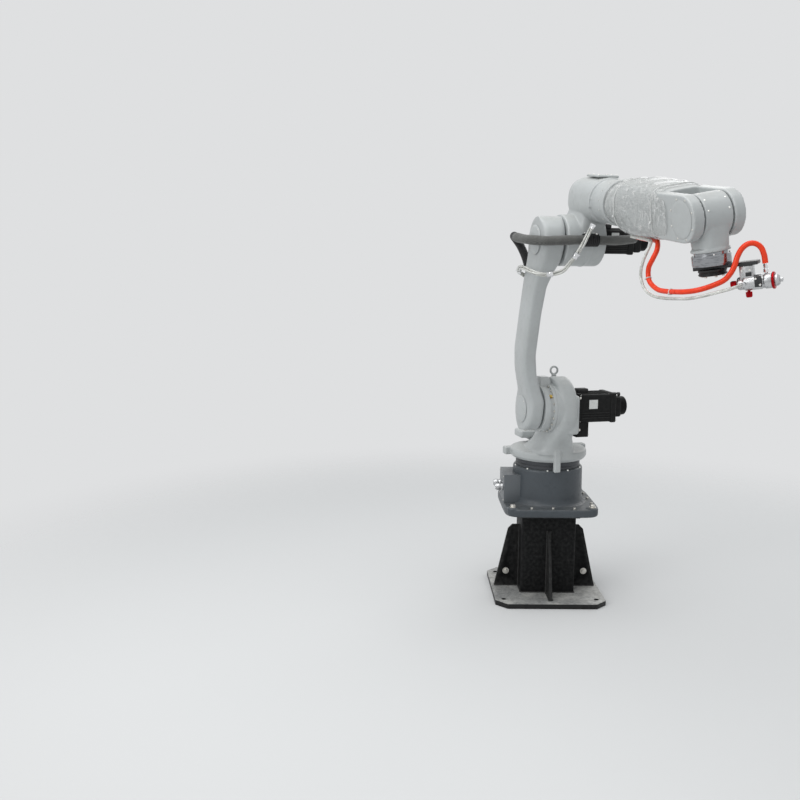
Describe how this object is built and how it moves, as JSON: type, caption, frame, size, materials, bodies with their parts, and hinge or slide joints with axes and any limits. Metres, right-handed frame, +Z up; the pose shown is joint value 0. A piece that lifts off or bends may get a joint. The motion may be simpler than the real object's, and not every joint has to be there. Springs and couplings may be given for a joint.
{
  "type": "industrial robot arm on a pedestal",
  "caption": "Articulated painting robot arm with rolling forearm and spray gun, on a welded steel pedestal.",
  "frame": {"origin": "on the floor at the centre of the floor plate, on the first axis", "axes": "+Z up, +X along the base away from its connector box, +Y away from the side that the arm reaches over"},
  "size_m": [0.755, 1.5261, 1.8764],
  "materials": {
    "arm_casting": "cast, under satin light grey enamel",
    "casting_grey": "satin enamel on castings",
    "base_grey": "satin dark grey enamel",
    "pedestal_black": "black enamel",
    "plate_bare": "worn and scuffed paint",
    "motor_black": "black satin",
    "steel": "bare",
    "aluminium": "turned and polished",
    "tool_black": "black oxide",
    "gun_silver": "satin",
    "red_anodised": "anodised red",
    "orange_hose": "smooth",
    "clear_hose": "clear, smooth",
    "sleeve": "woven sleeve",
    "rubber": "matte"
  },
  "bodies": {
    "root": {"floor_plate": "plate_bare", "pedestal_column": "pedestal_black", "gusset_left": "pedestal_black", "gusset_right": "pedestal_black", "rib_front": "pedestal_black", "rib_back": "pedestal_black", "pedestal_top": "pedestal_black", "base_casting": "base_grey", "base_ring": "base_grey", "connector_box": "base_grey", "power_connector": "steel", "signal_connector": "steel"},
    "turret": {"turret_casting": "casting_grey", "shoulder_reducer": "casting_grey", "shoulder_motor": "motor_black", "shoulder_motor_cap": "motor_black", "lifting_eye": "casting_grey", "turn_motor_base": "casting_grey", "turn_motor_bracket": "casting_grey", "turn_motor": "motor_black"},
    "upper_arm_body": {"upper_arm": "arm_casting", "shoulder_cover": "arm_casting", "elbow_cover": "arm_casting", "sleeve_rear": "sleeve", "elbow_air_hose": "clear_hose"},
    "elbow_body": {"elbow_casting": "arm_casting", "elbow_motor": "motor_black", "elbow_motor_cap": "motor_black", "roll_motor": "motor_black", "elbow_top_cover": "arm_casting", "sleeve_front": "sleeve", "sleeve_clamp": "rubber"},
    "forearm_body": {"roll_ring": "steel", "forearm_casting": "arm_casting", "fork_cover_near": "arm_casting", "fork_cover_far": "arm_casting", "paint_hose_loop": "orange_hose", "gun_air_hose_loop": "clear_hose"},
    "wrist_body": {"wrist_casting": "arm_casting", "paint_hose_tail": "orange_hose", "gun_air_hose_tail": "clear_hose"},
    "tool_body": {"flange_adapter": "aluminium", "tool_disc": "tool_black", "gun_bracket": "tool_black", "gun_body": "gun_silver", "gun_ring": "red_anodised", "gun_air_cap": "gun_silver", "gun_back_knob": "red_anodised", "gun_side_knob": "red_anodised", "gun_air_fitting": "steel", "gun_fluid_fitting": "steel"}
  },
  "joints": [
    {"name": "turn", "type": "hinge", "parent": "root", "child": "turret", "pos_m": [0, 0, 0.645], "axis": [0, 0, 1], "range_deg": [-170, 170]},
    {"name": "shoulder", "type": "hinge", "parent": "turret", "child": "upper_arm_body", "pos_m": [0.03629, -0.14554, 0.895], "axis": [0.9703, 0.2419, 0], "range_deg": [-60, 50]},
    {"name": "elbow", "type": "hinge", "parent": "upper_arm_body", "child": "elbow_body", "pos_m": [0.08465, -0.3395, 1.6158], "axis": [-0.9703, -0.2419, 0], "range_deg": [-70, 80], "deforming": ["sleeve_rear", "elbow_air_hose", "sleeve_front"]},
    {"name": "roll", "type": "hinge", "parent": "elbow_body", "child": "forearm_body", "pos_m": [0.09002, -0.36106, 1.78232], "axis": [0.2398, -0.9618, -0.1323], "range_deg": [-180, 180]},
    {"name": "wrist", "type": "hinge", "parent": "forearm_body", "child": "wrist_body", "pos_m": [0.28965, -1.16173, 1.67222], "axis": [0.9611, 0.216, 0.1721], "range_deg": [-197, 32], "deforming": ["paint_hose_loop", "gun_air_hose_loop"]},
    {"name": "flange", "type": "hinge", "parent": "wrist_body", "child": "tool_body", "pos_m": [0.28965, -1.16173, 1.67222], "axis": [0.1675, 0.0397, -0.9851], "range_deg": [-360, 360], "deforming": ["paint_hose_tail", "gun_air_hose_tail"]}
  ]
}
